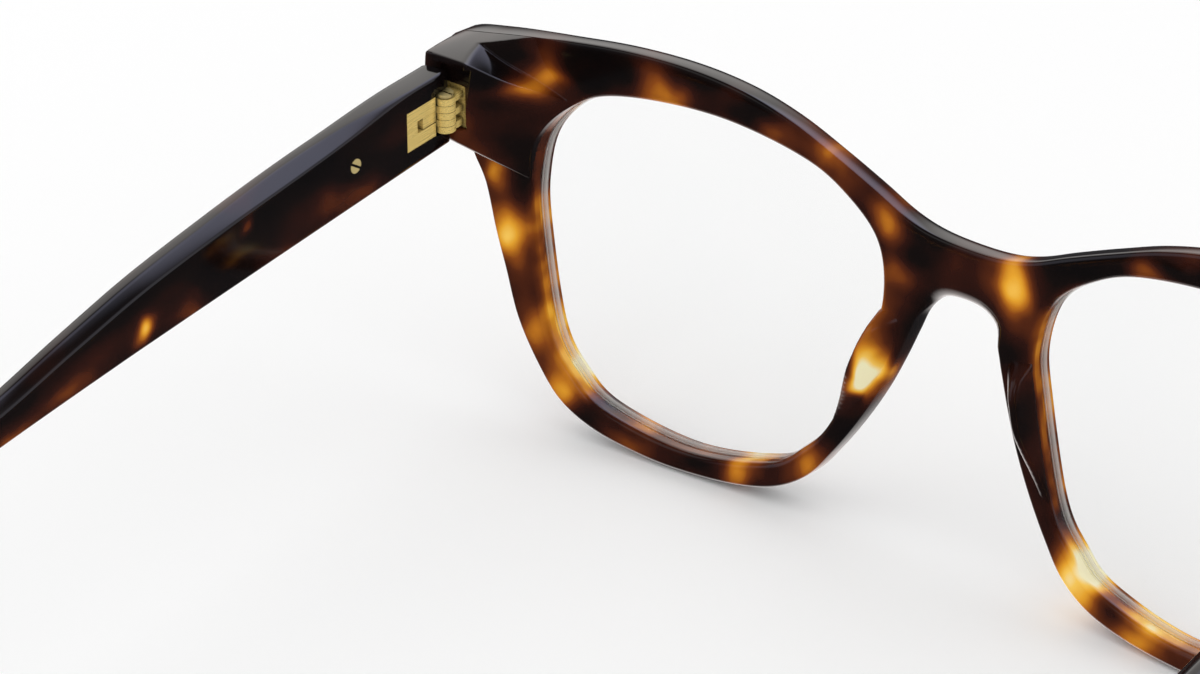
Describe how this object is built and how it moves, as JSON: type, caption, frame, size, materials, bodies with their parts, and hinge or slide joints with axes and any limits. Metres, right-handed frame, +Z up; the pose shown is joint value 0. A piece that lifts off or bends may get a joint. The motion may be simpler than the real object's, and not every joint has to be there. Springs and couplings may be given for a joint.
{
  "type": "eyeglasses",
  "caption": "Full-rim acetate spectacles with a cat-eye front, clear lenses, moulded nose pads and folding temples on sprung hinges.",
  "frame": {"origin": "on the table the spectacles stand on, on the plane of symmetry, below the rear face of the bridge", "axes": "+Z up, +X to the wearer's left, +Y back along the open temples, away from the front's outer face"},
  "size_m": [0.1488, 0.1508, 0.0533],
  "materials": {
    "acetate": "polished tortoiseshell acetate, near-black brown with honey patches",
    "lens": "clear demonstration lens",
    "gold_metal": "pale gold plating, lightly brushed",
    "screw_metal": "polished pale gold plating",
    "spring_steel": "bright drawn steel",
    "core_metal": "nickel silver wire, satin"
  },
  "bodies": {
    "front": {"front_frame": "acetate", "left_end_block": "acetate", "right_end_block": "acetate", "left_nose_pad": "acetate", "right_nose_pad": "acetate", "left_lens": "lens", "right_lens": "lens", "left_front_hinge": "gold_metal", "right_front_hinge": "gold_metal", "left_hinge_screw": "screw_metal", "right_hinge_screw": "screw_metal"},
    "left_slider": {"left_hinge_slider": "gold_metal", "left_guide_pins": "spring_steel"},
    "right_slider": {"right_hinge_slider": "gold_metal", "right_guide_pins": "spring_steel"},
    "left_temple": {"left_temple": "acetate", "left_spring_housing": "gold_metal", "left_core_wire": "core_metal", "left_temple_screw": "screw_metal", "left_hinge_springs": "spring_steel"},
    "right_temple": {"right_temple": "acetate", "right_spring_housing": "gold_metal", "right_core_wire": "core_metal", "right_temple_screw": "screw_metal", "right_hinge_springs": "spring_steel"}
  },
  "joints": [
    {"name": "left_temple_fold", "type": "hinge", "parent": "front", "child": "left_slider", "pos_m": [0.0684, 0.0109, 0.044], "axis": [0, 0, 1], "range_deg": [-8, 88]},
    {"name": "left_spring_travel", "type": "slide", "parent": "left_slider", "child": "left_temple", "axis": [0, 1, 0], "range_m": [0, 0.0009], "stiffness_N_per_m": 800, "springref_m": -0.0005, "deforming": ["left_hinge_springs"]},
    {"name": "right_temple_fold", "type": "hinge", "parent": "front", "child": "right_slider", "pos_m": [-0.0684, 0.0109, 0.044], "axis": [0, 0, -1], "range_deg": [-8, 80]},
    {"name": "right_spring_travel", "type": "slide", "parent": "right_slider", "child": "right_temple", "axis": [0, 1, 0], "range_m": [0, 0.0009], "stiffness_N_per_m": 800, "springref_m": -0.0005, "deforming": ["right_hinge_springs"]}
  ]
}
